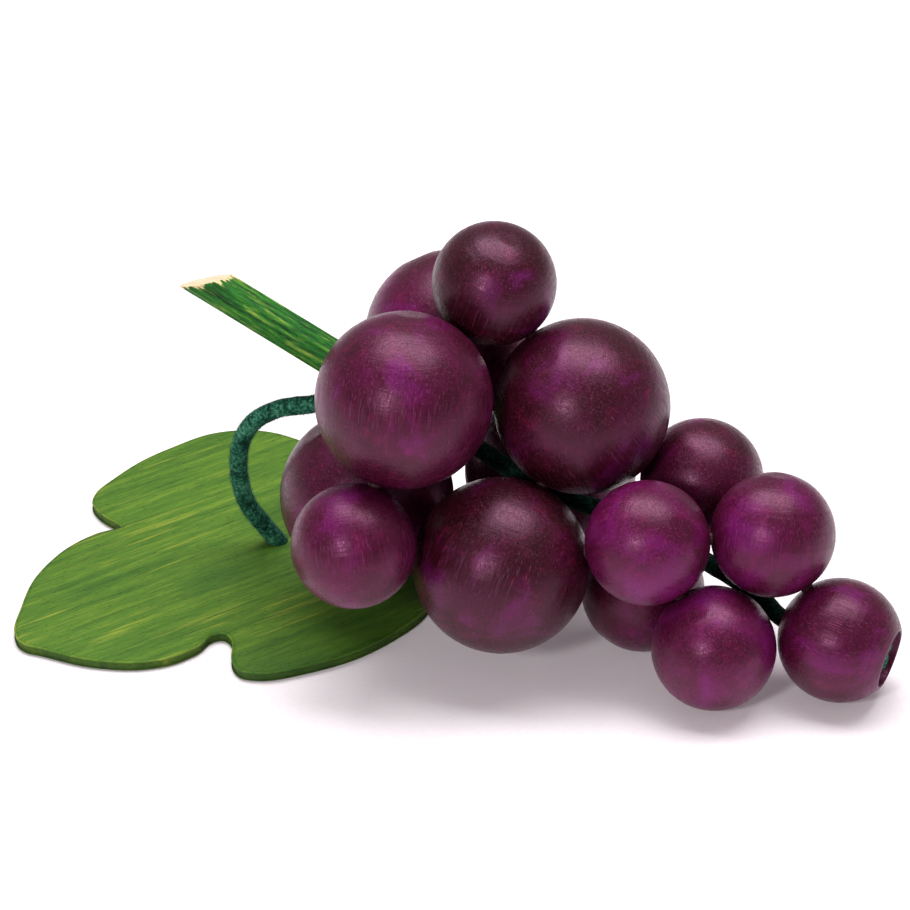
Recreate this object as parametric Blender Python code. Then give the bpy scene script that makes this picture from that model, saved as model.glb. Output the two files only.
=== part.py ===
"""A toy bunch of grapes made of turned wooden balls, as a Blender model at real size.

The balls are glued and pegged to one another round a fluted stem. A cord runs from the stem's
inner end through the tail of the bunch and is knotted in the last ball. A second cord loops out
of the stem to a flat wooden leaf. Metres, +Z up, the bunch lying on the ground at z = 0.
"""

import bpy
import bmesh
from math import atan2, cos, pi, radians, sin, sqrt
from mathutils import Matrix, Vector

MM = 0.001

# Driving dimensions, in millimetres
LARGE = 17.7  # radius of the 35.4 mm balls
SMALL = 12.5  # radius of the 25 mm balls
GLUE_GAP = 0.4  # glue line between two balls
CLEARANCE = 0.3  # air round everything that sits in a bore

STEM_RADIUS = 3.85
STEM_FLUTES = 16
FLUTE_DEPTH = 0.3
STEM_RING = Vector((-9.9, -6.8, 46.8))  # where the axis crosses the first ring of balls
STEM_AXIS = Vector((-0.853, 0.251, 0.458)).normalized()  # points out of the bunch
STEM_INSIDE = 13.0  # how far the stem runs on into the bunch
STEM_OUTSIDE = 60.0  # blank length before the slanted cut
STEM_CUT = 47.2  # where the slanted cut crosses the axis
STEM_CUT_NORMAL = Vector((-0.218, 0.315, 0.913)).normalized()
STEM_END_BORE = 7.0  # depth of the bore that takes the spine cord

CORD_RADIUS = 1.9
CORD_BORE = CORD_RADIUS + CLEARANCE

PEG_RADIUS = 1.25
PEG_DEPTH = 5.0  # how far a peg goes into a ball
STEM_PEG_DEPTH = 2.0  # how far a peg goes into the stem

LEAF_THICKNESS = 2.2
LEAF_EDGE_ROUND = 0.35
LEAF_TIP = Vector((-89.2, -26.4, 0.0))
LEAF_TURN = radians(35)  # from +X to the midrib, seen from above
LEAF_OUTLINE = (
    # along the midrib from the tip, across it, and the kind of point
    (0.9, 1.2, "smooth"),
    (1.0, -2.4, "smooth"),
    (2.4, -4.6, "smooth"),
    (10.3, -16.1, "smooth"),
    (20.2, -22.6, "smooth"),
    (28.5, -23.1, "smooth"),
    (35.6, -21.3, "smooth"),
    (36.5, -23.0, "smooth"),
    (31.4, -33.9, "smooth"),
    (32.4, -36.7, "smooth"),
    (42.0, -41.2, "smooth"),
    (64.6, -41.6, "smooth"),
    (80.0, -34.0, "smooth"),
    (86.0, -20.0, "smooth"),
    (82.0, -6.0, "smooth"),
    (77.0, 0.0, "corner"),
    (84.0, 7.0, "smooth"),
    (91.5, 20.0, "smooth"),
    (91.1, 34.4, "smooth"),
    (82.0, 44.9, "smooth"),
    (66.0, 46.5, "smooth"),
    (49.7, 42.6, "smooth"),
    (42.6, 38.8, "smooth"),
    (40.6, 35.0, "smooth"),
    (41.2, 24.9, "corner"),
    (34.7, 26.0, "smooth"),
    (20.0, 21.2, "smooth"),
    (7.3, 10.1, "smooth"),
)

END_AXIS = Vector((0.908, -0.378, -0.177)).normalized()  # bore of the last ball, outwards
END_FACE = 0.862  # the flat round the bore, as a share of the radius
END_BORE = 2.7  # radius, loose enough for the cord to bend as it goes in
END_RECESS_RADIUS = 5.9
END_RECESS_DEPTH = 5.0
KNOT_RADIUS = 4.2
KNOT_FLATNESS = 0.5

# Each ball: radius, and about where its centre lies before the balls settle against each other
BALLS = {
    "grape_large_front_left": (LARGE, (-10.2, -25.0, 58.0)),
    "grape_large_front_right": (LARGE, (25.9, -14.9, 49.4)),
    "grape_large_bottom_front": (LARGE, (9.2, -32.6, 25.0)),
    "grape_large_back_left": (LARGE, (-1.0, 12.0, 51.5)),
    "grape_large_bottom_left": (LARGE, (-17.5, -9.0, 26.5)),
    "grape_large_bottom_back": (LARGE, (20.0, 8.0, 22.0)),
    "grape_small_top": (SMALL, (8.0, -6.0, 74.5)),
    "grape_small_front_left": (SMALL, (-20.0, -38.5, 32.5)),
    "grape_small_front_middle": (SMALL, (38.6, -38.2, 33.2)),
    "grape_small_back_middle": (SMALL, (49.2, -12.8, 32.2)),
    "grape_small_back_left": (SMALL, (-14.0, 18.0, SMALL + LEAF_THICKNESS + CLEARANCE)),
    "grape_small_tail_top": (SMALL, (63.5, -34.5, 32.5)),
    "grape_small_tail_front": (SMALL, (51.8, -45.0, SMALL)),
    "grape_small_tail_back": (SMALL, (38.4, -23.2, SMALL)),
    "grape_small_tail_end": (SMALL, (77.0, -42.0, SMALL)),
}
RESTING = (
    "grape_small_back_left",
    "grape_small_tail_front",
    "grape_small_tail_back",
    "grape_small_tail_end",
)
ROUND_THE_STEM = ("grape_large_front_left", "grape_large_back_left", "grape_large_bottom_left")
GLUED = (
    ("grape_small_top", "grape_large_front_left"),
    ("grape_small_top", "grape_large_front_right"),
    ("grape_small_front_left", "grape_large_front_left"),
    ("grape_large_front_right", "grape_large_bottom_front"),
    ("grape_small_back_left", "grape_large_bottom_left"),
    ("grape_large_bottom_front", "grape_small_front_middle"),
    ("grape_small_front_middle", "grape_small_tail_top"),
    ("grape_small_tail_top", "grape_small_back_middle"),
    ("grape_small_front_middle", "grape_small_tail_front"),
    ("grape_small_tail_front", "grape_small_tail_back"),
    ("grape_large_back_left", "grape_large_bottom_back"),
    ("grape_small_tail_top", "grape_small_tail_end"),
)
SETTLING_ROUNDS = 400

# The leaf cord, from its bore in the stem to its bore in the leaf
LEAF_CORD_ROUTE = (
    (-17.6, -5.6, 48.6),
    (-22.4, -4.6, 46.8),
    (-28.8, -3.1, 44.3),
    (-35.0, -1.4, 42.4),
    (-40.2, 0.6, 38.6),
    (-43.2, 2.8, 33.2),
    (-44.4, 5.0, 26.6),
    (-44.2, 7.4, 19.0),
    (-42.6, 9.4, 12.2),
    (-39.4, 11.0, 6.4),
    (-36.5, 12.0, 1.5),
)
# The spine cord, from the stem's inner end to the floor of the recess in the last ball
SPINE_CORD_MIDDLE = (
    (15.7, -14.4, 32.6),
    (26.5, -18.0, 29.6),
    (37.8, -22.4, 28.6),
    (48.2, -27.6, 23.8),
    (55.6, -29.6, 19.6),
    (61.2, -33.0, 17.2),
)
POINT_SPACING = 2.2 * 2 * CORD_RADIUS  # along a cord, between two points of its tube

SEGMENTS = {LARGE: 24, SMALL: 20}


def material(name, colour, roughness):
    made = bpy.data.materials.new(name)
    made.use_nodes = True
    shader = made.node_tree.nodes["Principled BSDF"]
    shader.inputs["Base Color"].default_value = (*colour, 1.0)
    shader.inputs["Roughness"].default_value = roughness
    shader.inputs["Metallic"].default_value = 0.0
    return made


def new_object(name, mesh, surface):
    made = bpy.data.objects.new(name, mesh)
    bpy.context.scene.collection.objects.link(made)
    mesh.materials.clear()
    mesh.materials.append(surface)
    mesh.shade_smooth()
    mesh.set_sharp_from_angle(angle=radians(35))
    return made


def mesh_from(name, build):
    """A mesh that build(bm) fills, with its faces turned outwards."""
    bm = bmesh.new()
    build(bm)
    bmesh.ops.recalc_face_normals(bm, faces=bm.faces)
    mesh = bpy.data.meshes.new(name)
    bm.to_mesh(mesh)
    bm.free()
    return mesh


def towards(axis):
    """The rotation that takes +Z to the axis."""
    return axis.to_track_quat("Z", "Y").to_matrix().to_4x4()


def rod(bm, start, end, radius, sides=12):
    """A plain cylinder between two points given in millimetres."""
    middle = Matrix.Translation((start + end) * 0.5 * MM)
    bmesh.ops.create_cone(
        bm,
        cap_ends=True,
        segments=sides,
        radius1=radius * MM,
        radius2=radius * MM,
        depth=(end - start).length * MM,
        matrix=middle @ towards(end - start),
    )


def lathe(bm, profile, sides, closed):
    """Turns a profile of (radius, height) points, in metres, about Z."""
    rings = []
    for radius, height in profile:
        if radius == 0.0:
            rings.append([bm.verts.new((0.0, 0.0, height))] * sides)
            continue
        turns = [2 * pi * i / sides for i in range(sides)]
        rings.append([bm.verts.new((radius * cos(t), radius * sin(t), height)) for t in turns])
    joined = zip(rings, rings[1:] + rings[:1]) if closed else zip(rings, rings[1:])
    for lower, upper in joined:
        for i in range(sides):
            k = (i + 1) % sides
            corners = (lower[i], lower[k], upper[k], upper[i])
            bm.faces.new(dict.fromkeys(corners))


# ---- the balls ----


def away_from_stem(centre):
    """The centre's foot on the stem's axis, and the arm from there to the centre."""
    along = (centre - STEM_RING).dot(STEM_AXIS)
    foot = STEM_RING + STEM_AXIS * along
    return foot, centre - foot


def settle():
    """Lets the balls close up against each other, the stem and the ground, and returns their centres."""
    centres = {name: Vector(place) for name, (_, place) in BALLS.items()}
    names = list(BALLS)
    glued = {frozenset(pair) for pair in GLUED}
    for _ in range(SETTLING_ROUNDS):
        for i, first in enumerate(names):
            for second in names[i + 1 :]:
                arm = centres[second] - centres[first]
                slack = arm.length - BALLS[first][0] - BALLS[second][0] - GLUE_GAP
                if slack < 0 or frozenset((first, second)) in glued:
                    shift = arm.normalized() * slack * 0.5
                    centres[first] += shift
                    centres[second] -= shift
        for name in ROUND_THE_STEM:
            foot, arm = away_from_stem(centres[name])
            reach = BALLS[name][0] + STEM_RADIUS + CLEARANCE
            centres[name] = foot + arm.normalized() * reach
        for name in RESTING:
            centres[name].z = BALLS[name][1][2]
    return centres


def ball(name, radius, centre, axis, surface):
    sides = SEGMENTS[radius]

    def build(bm):
        bmesh.ops.create_uvsphere(
            bm, u_segments=sides, v_segments=sides // 2, radius=radius * MM
        )

    made = new_object(name, mesh_from(name, build), surface)
    made.matrix_world = Matrix.Translation(centre * MM) @ towards(axis)
    return made


def end_ball(name, radius, centre, surface):
    """The last ball of the tail: bored right through, with a recess for the knot."""
    face = END_FACE * radius
    rim = sqrt(radius**2 - face**2)
    low = -sqrt(radius**2 - END_BORE**2)
    start = atan2(low, END_BORE)
    end = atan2(face, rim)
    steps = 9
    angles = [start + (end - start) * i / steps for i in range(steps + 1)]
    profile = [(radius * cos(a), radius * sin(a)) for a in angles]
    profile += [
        (END_RECESS_RADIUS, face),
        (END_RECESS_RADIUS, face - END_RECESS_DEPTH),
        (END_BORE, face - END_RECESS_DEPTH),
    ]
    profile = [(r * MM, z * MM) for r, z in profile]
    mesh = mesh_from(name, lambda bm: lathe(bm, profile, SEGMENTS[radius], closed=True))
    made = new_object(name, mesh, surface)
    made.matrix_world = Matrix.Translation(centre * MM) @ towards(END_AXIS)
    return made


# ---- pegs and the bores that take them ----


class Bores:
    """Collects the holes to be drilled into each piece, then drills them."""

    def __init__(self):
        self.holes = {}

    def add(self, piece, mouth, bottom, radius):
        self.holes.setdefault(piece, []).append((mouth, bottom, radius))

    def drill(self):
        for piece, holes in self.holes.items():

            def build(bm, holes=holes):
                for mouth, bottom, radius in holes:
                    rod(bm, mouth, bottom, radius)

            cutter = bpy.data.objects.new(piece + "_cutter", mesh_from(piece + "_cutter", build))
            bpy.context.scene.collection.objects.link(cutter)
            cutter.hide_render = True
            cutter.display_type = "WIRE"
            cut = bpy.data.objects[piece].modifiers.new("bores", "BOOLEAN")
            cut.operation = "DIFFERENCE"
            cut.solver = "EXACT"
            cut.object = cutter


def peg(name, start, end, surface):
    mesh = mesh_from(name, lambda bm: rod(bm, start, end, PEG_RADIUS))
    return new_object(name, mesh, surface)


def ball_pegs(centres, bores, surface):
    """A peg across each glue line."""
    for number, (first, second) in enumerate(GLUED, start=1):
        way = (centres[second] - centres[first]).normalized()
        near = centres[first] + way * (BALLS[first][0] - PEG_DEPTH)
        far = centres[second] - way * (BALLS[second][0] - PEG_DEPTH)
        middle = (near + far) * 0.5
        slack = way * CLEARANCE
        peg(f"peg_{number:02d}", near + slack, far - slack, surface)
        bores.add(first, middle, near, PEG_RADIUS + CLEARANCE)
        bores.add(second, middle, far, PEG_RADIUS + CLEARANCE)


def stem_pegs(centres, bores, surface):
    """A peg from the stem into each ball of the first ring."""
    for number, name in enumerate(ROUND_THE_STEM, start=1):
        foot, arm = away_from_stem(centres[name])
        way = arm.normalized()
        inner = foot + way * (STEM_RADIUS - STEM_PEG_DEPTH)
        outer = centres[name] - way * (BALLS[name][0] - PEG_DEPTH)
        contact = foot + way * (STEM_RADIUS + CLEARANCE / 2)
        slack = way * CLEARANCE
        peg(f"stem_peg_{number}", inner + slack, outer - slack, surface)
        bores.add("stem", contact, inner, PEG_RADIUS + CLEARANCE)
        bores.add(name, contact, outer, PEG_RADIUS + CLEARANCE)


# ---- stem and leaf ----


def stem(surface):
    """A fluted dowel, cut off on a slant at its outer end."""
    start = STEM_RING - STEM_AXIS * STEM_INSIDE
    count = STEM_FLUTES * 2
    radii = [STEM_RADIUS - FLUTE_DEPTH * (i % 2) for i in range(count)]
    turns = [2 * pi * i / count for i in range(count)]
    section = [(r * cos(t) * MM, r * sin(t) * MM) for r, t in zip(radii, turns)]

    def build(bm):
        for height in (0.0, STEM_INSIDE + STEM_OUTSIDE):
            bm.faces.new([bm.verts.new((x, y, height * MM)) for x, y in section])
        bmesh.ops.bridge_loops(bm, edges=bm.edges[:])
        bm.transform(Matrix.Translation(start * MM) @ towards(STEM_AXIS))
        cut = bmesh.ops.bisect_plane(
            bm,
            geom=bm.verts[:] + bm.edges[:] + bm.faces[:],
            plane_co=(STEM_RING + STEM_AXIS * STEM_CUT) * MM,
            plane_no=STEM_CUT_NORMAL,
            clear_outer=True,
        )
        rim = [item for item in cut["geom_cut"] if isinstance(item, bmesh.types.BMEdge)]
        bmesh.ops.edgeloop_fill(bm, edges=rim)

    return new_object("stem", mesh_from("stem", build), surface)


def leaf(surface):
    """A grape leaf sawn from thin wood, with its edges rounded over."""
    curve = bpy.data.curves.new("leaf", "CURVE")
    curve.dimensions = "2D"
    curve.fill_mode = "BOTH"
    curve.resolution_u = 4
    curve.extrude = (LEAF_THICKNESS / 2 - LEAF_EDGE_ROUND) * MM
    curve.bevel_depth = LEAF_EDGE_ROUND * MM
    curve.bevel_resolution = 1
    curve.offset = -LEAF_EDGE_ROUND * MM
    spline = curve.splines.new("BEZIER")
    spline.bezier_points.add(len(LEAF_OUTLINE) - 1)
    spline.use_cyclic_u = True
    for point, (along, across, kind) in zip(spline.bezier_points, LEAF_OUTLINE):
        point.co = (along * MM, across * MM, 0.0)
        handles = "VECTOR" if kind == "corner" else "AUTO"
        point.handle_left_type = handles
        point.handle_right_type = handles
    drawn = bpy.data.objects.new("leaf_outline", curve)
    bpy.context.scene.collection.objects.link(drawn)
    bpy.context.view_layer.update()
    mesh = bpy.data.meshes.new_from_object(drawn)
    bpy.data.objects.remove(drawn)
    bm = bmesh.new()
    bm.from_mesh(mesh)
    bmesh.ops.remove_doubles(bm, verts=bm.verts, dist=1e-6)
    bmesh.ops.recalc_face_normals(bm, faces=bm.faces)
    bm.to_mesh(mesh)
    bm.free()
    mesh.name = "leaf"
    made = new_object("leaf", mesh, surface)
    lift = Vector((0.0, 0.0, LEAF_THICKNESS / 2))
    made.matrix_world = Matrix.Translation((LEAF_TIP + lift) * MM) @ Matrix.Rotation(LEAF_TURN, 4, "Z")
    return made


# ---- cords ----


def smooth_route(points):
    """Evenly spaced points on a Catmull-Rom curve through the given ones."""
    given = [Vector(p) for p in points]
    padded = [given[0] * 2 - given[1], *given, given[-1] * 2 - given[-2]]
    dense = []
    for a, b, c, d in zip(padded, padded[1:], padded[2:], padded[3:]):
        for step in range(12):
            t = step / 12
            place = b * 2 + (c - a) * t + (a * 2 - b * 5 + c * 4 - d) * t**2
            dense.append((place + (b * 3 - a - c * 3 + d) * t**3) * 0.5)
    dense.append(given[-1])
    lengths = [0.0]
    for a, b in zip(dense, dense[1:]):
        lengths.append(lengths[-1] + (b - a).length)
    count = max(3, round(lengths[-1] / POINT_SPACING))
    spaced = []
    segment = 0
    for i in range(count + 1):
        wanted = lengths[-1] * i / count
        while segment < len(dense) - 2 and lengths[segment + 1] < wanted:
            segment += 1
        share = (wanted - lengths[segment]) / (lengths[segment + 1] - lengths[segment])
        spaced.append(dense[segment].lerp(dense[segment + 1], share))
    return spaced, lengths[-1]


def cord(name, route, surface):
    points, length = smooth_route(route)
    curve = bpy.data.curves.new(name, "CURVE")
    curve.dimensions = "3D"
    curve.bevel_depth = CORD_RADIUS * MM
    curve.bevel_resolution = 2
    curve.use_fill_caps = True
    spline = curve.splines.new("POLY")
    spline.points.add(len(points) - 1)
    for knot, place in zip(spline.points, points):
        knot.co = (*(place * MM), 1.0)
    curve.materials.append(surface)
    made = bpy.data.objects.new(name, curve)
    bpy.context.scene.collection.objects.link(made)
    print(f"{name}: {length:.1f} mm long")
    return made


def spine_route(centres):
    """Out of the stem's end bore, down the middle of the tail and through the last ball."""
    stem_end = STEM_RING - STEM_AXIS * STEM_INSIDE
    last = centres["grape_small_tail_end"]
    recess_floor = last + END_AXIS * (END_FACE * SMALL - END_RECESS_DEPTH)
    return (
        stem_end + STEM_AXIS * (STEM_END_BORE - CLEARANCE),
        stem_end,
        *SPINE_CORD_MIDDLE,
        last - END_AXIS * SMALL,
        last - END_AXIS * SMALL * 0.4,
        recess_floor + END_AXIS * CLEARANCE,
    )


def end_knot(centres, surface):
    """The knot that stops the spine cord in the last ball's recess."""

    def build(bm):
        bmesh.ops.create_uvsphere(bm, u_segments=14, v_segments=8, radius=KNOT_RADIUS * MM)
        bmesh.ops.scale(bm, verts=bm.verts, vec=(1.0, 1.0, KNOT_FLATNESS))

    made = new_object("end_knot", mesh_from("end_knot", build), surface)
    last = centres["grape_small_tail_end"]
    floor = END_FACE * SMALL - END_RECESS_DEPTH
    height = floor + 2 * CLEARANCE + KNOT_RADIUS * KNOT_FLATNESS
    made.matrix_world = Matrix.Translation((last + END_AXIS * height) * MM) @ towards(END_AXIS)
    return made


def main():
    for old in list(bpy.data.objects):
        bpy.data.objects.remove(old)
    purple = material("purple_stained_wood", (0.085, 0.012, 0.055), 0.42)
    green = material("green_stained_wood", (0.09, 0.24, 0.04), 0.6)
    dark_green = material("green_cord", (0.01, 0.09, 0.06), 0.95)
    beech = material("beech", (0.62, 0.44, 0.28), 0.6)

    centres = settle()
    core = sum(centres.values(), Vector()) / len(centres)
    for name, (radius, _) in BALLS.items():
        if name == "grape_small_tail_end":
            end_ball(name, radius, centres[name], purple)
        else:
            ball(name, radius, centres[name], centres[name] - core, purple)
    stem(green)
    leaf(green)

    bores = Bores()
    ball_pegs(centres, bores, beech)
    stem_pegs(centres, bores, beech)
    stem_end = STEM_RING - STEM_AXIS * STEM_INSIDE
    bores.add("stem", stem_end - STEM_AXIS, stem_end + STEM_AXIS * STEM_END_BORE, CORD_BORE)
    route = [Vector(p) for p in LEAF_CORD_ROUTE]
    out = (route[1] - route[0]).normalized()
    bores.add("stem", route[0] + out * 9.0, route[0] - out * CLEARANCE, CORD_BORE)
    down = (route[-1] - route[-2]).normalized()
    bores.add("leaf", route[-1] - down * 6.0, route[-1] + down * 6.0, CORD_BORE)
    bores.drill()

    cord("leaf_cord", LEAF_CORD_ROUTE, dark_green)
    cord("spine_cord", spine_route(centres), dark_green)
    end_knot(centres, dark_green)


main()
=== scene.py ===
# %% [markdown]
# # A toy bunch of grapes, turned from wood and stained
# The real toy is fifteen wooden balls glued and pegged together, a fluted stem cut off on a slant,
# a flat leaf sawn from thin wood, and two lengths of velour cord. The solid shapes were packed
# before, and they are the fixed frame that everything here is fitted to. This lesson gives each
# of them the surface that the maker gave it: tool marks, stain, varnish, pile and wear.

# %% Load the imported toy
from math import atan2, cos, pi, radians, sin, sqrt

import bmesh
import bpy
from mathutils import Matrix, Vector, noise


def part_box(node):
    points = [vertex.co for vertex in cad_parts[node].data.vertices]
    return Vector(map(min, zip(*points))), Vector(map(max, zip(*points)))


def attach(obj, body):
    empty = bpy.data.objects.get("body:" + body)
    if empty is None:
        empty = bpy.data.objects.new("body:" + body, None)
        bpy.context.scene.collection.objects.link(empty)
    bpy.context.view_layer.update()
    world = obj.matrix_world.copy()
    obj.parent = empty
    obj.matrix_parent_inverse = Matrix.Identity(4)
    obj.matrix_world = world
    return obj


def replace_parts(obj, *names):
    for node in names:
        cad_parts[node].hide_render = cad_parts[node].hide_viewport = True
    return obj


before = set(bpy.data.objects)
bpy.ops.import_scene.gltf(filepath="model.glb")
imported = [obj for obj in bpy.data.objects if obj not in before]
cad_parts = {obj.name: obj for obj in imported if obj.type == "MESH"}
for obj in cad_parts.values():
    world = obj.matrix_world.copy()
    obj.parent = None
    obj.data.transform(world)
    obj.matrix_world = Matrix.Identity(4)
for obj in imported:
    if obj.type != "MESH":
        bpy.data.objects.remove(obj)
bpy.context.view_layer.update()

# %% [markdown]
# ## The camera
# A long lens a metre away shows the balls with almost no stretching, as a catalogue picture of
# a small toy does. It looks down on the bunch by 31 degrees from straight in front. The camera
# is placed first, because the loose cord that comes next is laid out for this view.

# %% Camera
LOOK_DOWN = radians(31)
camera_data = bpy.data.cameras.new("camera")
camera_data.lens = 217.1
camera_data.sensor_width = 36.0
camera_data.clip_start = 0.05
camera = bpy.data.objects.new("camera", camera_data)
camera.location = (0.0001, -0.9623, 0.6086)
camera.rotation_euler = (pi / 2 - LOOK_DOWN, 0.0, 0.0)
bpy.context.scene.collection.objects.link(camera)
bpy.context.scene.camera = camera
print("camera is", round((camera.location - Vector((0, -0.02, 0.04))).length, 3), "m away")

# %% [markdown]
# ## Small helpers
# Three things are needed again and again: a colour written the way a paint chart gives it, a node
# with its inputs filled in, and an object made from a mesh. Writing each of them once keeps the
# recipes further down short enough to read like recipes.

# %% Colours, nodes and objects
MM = 0.001


def dye(red, green, blue):
    """A colour given as 0 to 255 on a chart, as the light values that Blender works in."""
    parts = [c / 255 for c in (red, green, blue)]
    return (*[p / 12.92 if p <= 0.04045 else ((p + 0.055) / 1.055) ** 2.4 for p in parts], 1.0)


def add(tree, kind, values=(), **settings):
    """A node with its settings and inputs filled in. A value that is a socket is joined on."""
    made = tree.nodes.new(kind)
    for key, value in settings.items():
        setattr(made, key, value)
    for key, value in dict(values).items():
        if isinstance(value, bpy.types.NodeSocket):
            tree.links.new(value, made.inputs[key])
        else:
            made.inputs[key].default_value = value
    return made


def link_piece(name, mesh):
    made = bpy.data.objects.new(name, mesh)
    bpy.context.scene.collection.objects.link(made)
    return made


def size_of(piece):
    low = Vector(map(min, zip(*[v.co for v in piece.data.vertices])))
    high = Vector(map(max, zip(*[v.co for v in piece.data.vertices])))
    return [round(1000 * side, 1) for side in high - low]


# %% Colour steps and mixing
def steps(tree, fac, *stops):
    """A colour ramp from (place, colour) stops."""
    made = add(tree, "ShaderNodeValToRGB", {"Fac": fac})
    ramp = made.color_ramp
    while len(ramp.elements) < len(stops):
        ramp.elements.new(0.5)
    for element, (place, colour) in zip(ramp.elements, stops):
        element.position = place
        element.color = colour
    return made.outputs["Color"]


def shade(tree, fac, low, high, start=0.0, end=1.0):
    """Turns one range of numbers into another, without going past its ends."""
    made = add(tree, "ShaderNodeMapRange", {0: fac, 1: start, 2: end, 3: low, 4: high})
    return made.outputs["Result"]


def blend(tree, fac, first, second, how="MIX"):
    made = add(tree, "ShaderNodeMix", {0: fac, 6: first, 7: second}, data_type="RGBA", blend_type=how)
    return made.outputs[2]


def calc(tree, how, first, second=0.0):
    return add(tree, "ShaderNodeMath", {0: first, 1: second}, operation=how).outputs[0]


def stretched(tree, place, scale, turn=(0.0, 0.0, 0.0)):
    """Coordinates squeezed along some directions, so that a round speckle becomes a fibre."""
    made = add(tree, "ShaderNodeMapping", {"Vector": place, "Scale": scale, "Rotation": turn})
    return made.outputs["Vector"]


def speckle(tree, place, scale, detail=3.0, rough=0.5, warp=0.0):
    values = {"Vector": place, "Scale": scale, "Detail": detail, "Roughness": rough, "Distortion": warp}
    return add(tree, "ShaderNodeTexNoise", values).outputs["Fac"]


def new_finish(name):
    """An empty material, its node tree and its shader."""
    made = bpy.data.materials.new(name)
    made.use_nodes = True
    return made, made.node_tree, made.node_tree.nodes["Principled BSDF"]


def roughen(tree, shader, relief, strength, deepest):
    """Small relief, up to the deepest given, that only turns the light."""
    made = add(tree, "ShaderNodeBump", {"Strength": strength, "Distance": deepest, "Height": relief})
    tree.links.new(made.outputs["Normal"], shader.inputs["Normal"])


# %% [markdown]
# ## The cord to the leaf
# The real cord is a soft velour cord, 4 mm thick, glued into a slanted hole in the stem. It
# bends over under its own weight and goes down into a hole in the leaf, 67 mm further on.
# A cord is one smooth line with thickness, so its route is set down first, as the places that it
# passes. A curve is drawn through them, and points are taken off it at even distances.

# %% Route of the leaf cord
CORD_RADIUS = 1.9 * MM
LEAF_CORD_PLACES = (
    (-17.6, -5.6, 48.6), (-22.4, -4.6, 46.8), (-28.8, -3.1, 44.3), (-35.0, -1.4, 42.4),
    (-40.2, 0.6, 38.6), (-43.2, 2.8, 33.2), (-44.4, 5.0, 26.6), (-44.2, 7.4, 19.0),
    (-42.6, 9.4, 12.2), (-39.4, 11.0, 6.4), (-36.5, 12.0, 1.5),
)


def route_through(places, spacing):
    """Evenly spaced points, in metres, on a smooth curve through places given in millimetres."""
    given = [Vector(p) * MM for p in places]
    padded = [given[0] * 2 - given[1], *given, given[-1] * 2 - given[-2]]
    dense = []
    for a, b, c, d in zip(padded, padded[1:], padded[2:], padded[3:]):
        for t in [step / 24 for step in range(24)]:
            bend = (a * 2 - b * 5 + c * 4 - d) * t**2 + (b * 3 - a - c * 3 + d) * t**3
            dense.append((b * 2 + (c - a) * t + bend) * 0.5)
    dense.append(given[-1])
    run = [0.0]
    for a, b in zip(dense, dense[1:]):
        run.append(run[-1] + (b - a).length)
    count = round(run[-1] / spacing)
    spaced, k = [], 0
    for i in range(count + 1):
        wanted = run[-1] * i / count
        while k < len(dense) - 2 and run[k + 1] < wanted:
            k += 1
        spaced.append(dense[k].lerp(dense[k + 1], (wanted - run[k]) / (run[k + 1] - run[k])))
    return spaced, run[-1]


leaf_cord_route, leaf_cord_length = route_through(LEAF_CORD_PLACES, 0.6 * MM)
print("leaf cord, mm:", round(leaf_cord_length / MM, 1), "in", len(leaf_cord_route), "points")

# %% [markdown]
# ## The finish of the cord
# Velour is a knitted tube with a short dense pile. It drinks in light, so its shadows are nearly
# black, and the tips of the pile catch light at its edges. The colour comes from two speckles, one
# for the tufts and one for places where the pile lies the other way, with painted shade at its dark
# end and painted light at its pale end, and the shader's sheen gives the pale edge. The cord inside
# the bunch gets a darker copy of this finish, painted shade for the inside of the bunch. The
# speckles read the piece's own coordinates.

# %% Velour
def velour_finish(name, shadow, pile, lit, tips):
    """Velour from its darkest colour, painted shade deep in the pile, to its lightest, painted light at the
    tips.
    """
    made, tree, shader = new_finish(name)
    place = add(tree, "ShaderNodeTexCoord").outputs["Object"]
    tufts = speckle(tree, place, 1500.0, 2.0, 0.7)
    lay_of_pile = speckle(tree, place, 260.0, 2.0, 0.6)
    tuft_share = calc(tree, "MULTIPLY", tufts, 0.62)
    tone = calc(tree, "ADD", tuft_share, calc(tree, "MULTIPLY", lay_of_pile, 0.42))
    # Random tufts choose the colour. Its darkest stop is painted shade in the pile, and its lightest is
    # painted light on the tips.
    colour = steps(tree, tone, (0.36, shadow), (0.48, pile), (0.58, lit), (0.72, tips))
    tree.links.new(colour, shader.inputs["Base Color"])
    tree.links.new(shade(tree, tufts, 0.8, 1.0), shader.inputs["Roughness"])
    roughen(tree, shader, tufts, 0.9, 0.4 * MM)
    shader.inputs["Sheen Weight"].default_value = 0.2
    shader.inputs["Sheen Roughness"].default_value = 0.4
    shader.inputs["Sheen Tint"].default_value = dye(150, 215, 190)
    shader.inputs["Specular IOR Level"].default_value = 0.1
    return made


velour = velour_finish(
    "velour_green", dye(4, 22, 19), dye(20, 70, 55), dye(54, 118, 92), dye(112, 170, 140)
)
# A darker copy of the velour: painted shade for the cord inside the bunch.
velour_painted_shade = velour_finish(
    "velour_green_painted_shade", dye(1, 7, 6), dye(4, 20, 16), dye(12, 42, 33), dye(34, 80, 64)
)
print("two shades of velour")

# %% [markdown]
# ## Tools that grow things along a path
# Geometry Nodes turn a drawn line into a cord, and grow pile on it. A tree is a list of such
# steps with its sizes brought out as named inputs, so that the same tree makes the thick cord and
# the thin one. The next cell has the helpers that start a tree, give it inputs, run it on an
# object, and keep the result as a plain mesh.

# %% Starting and running a geometry tree
SOCKETS = {
    "length": "NodeSocketFloat", "number": "NodeSocketFloat", "count": "NodeSocketInt",
    "vector": "NodeSocketVector", "turn": "NodeSocketRotation", "finish": "NodeSocketMaterial",
}


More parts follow.
